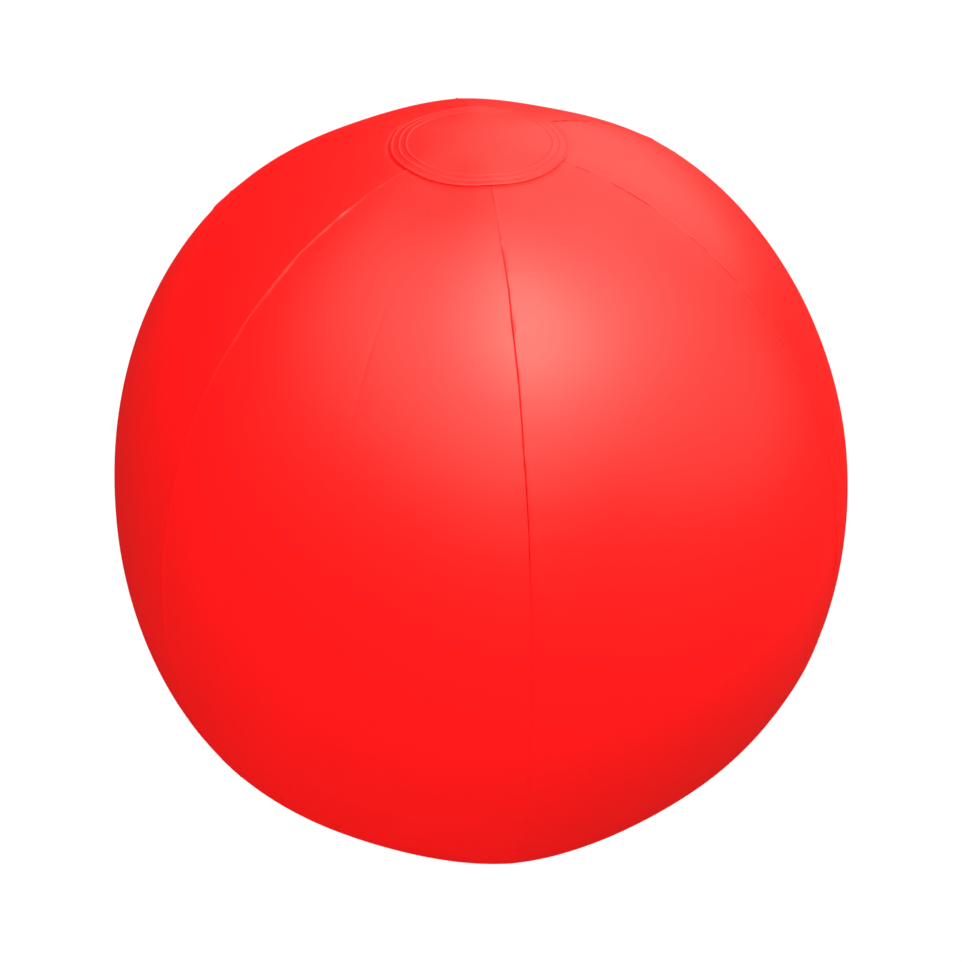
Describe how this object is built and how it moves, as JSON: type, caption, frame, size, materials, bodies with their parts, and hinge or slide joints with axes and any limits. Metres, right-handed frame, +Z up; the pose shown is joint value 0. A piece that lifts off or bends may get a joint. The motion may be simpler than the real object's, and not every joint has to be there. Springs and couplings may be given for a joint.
{
  "type": "inflatable beach ball",
  "caption": "Inflatable ball of welded film gores with polar caps and a push-in valve with a hinged stopper and a one-way flap.",
  "frame": {"origin": "Centre of the flat that the ball rests on, at the middle of the lower polar cap.", "axes": "+Z up along the polar axis through both caps; -Y towards the front, where one gore seam lies 7 degrees towards +X; the valve is on the back, towards -X and +Y."},
  "size_m": [0.28, 0.28, 0.2892],
  "materials": {
    "red_film": "satin",
    "valve_vinyl": "satin"
  },
  "bodies": {
    "ball": {"gore_panel_1": "red_film", "gore_panel_2": "red_film", "gore_panel_3": "red_film", "gore_panel_4": "red_film", "gore_panel_5": "red_film", "gore_panel_6": "red_film", "top_cap": "red_film", "bottom_cap": "red_film", "valve_flange": "valve_vinyl", "valve_cuff": "valve_vinyl"},
    "valve_stem": {"valve_stem": "valve_vinyl", "valve_strap": "valve_vinyl"},
    "stopper": {"valve_stopper": "valve_vinyl"},
    "check_flap": {"valve_check_flap": "valve_vinyl"}
  },
  "joints": [
    {"name": "valve_slide", "type": "slide", "parent": "ball", "child": "valve_stem", "axis": [-0.5381, 0.7079, 0.4575], "range_m": [0, 0.013], "deforming": ["valve_cuff"]},
    {"name": "stopper_hinge", "type": "hinge", "parent": "valve_stem", "child": "stopper", "pos_m": [-0.07313, 0.09621, 0.22257], "axis": [0.7961, 0.6052, 0], "range_deg": [0, 145], "deforming": ["valve_strap"]},
    {"name": "flap_hinge", "type": "hinge", "parent": "valve_stem", "child": "check_flap", "pos_m": [-0.06446, 0.08481, 0.21062], "axis": [-0.7961, -0.6052, 0], "range_deg": [0, 60], "stiffness_Nm_per_rad": 0.0001}
  ]
}
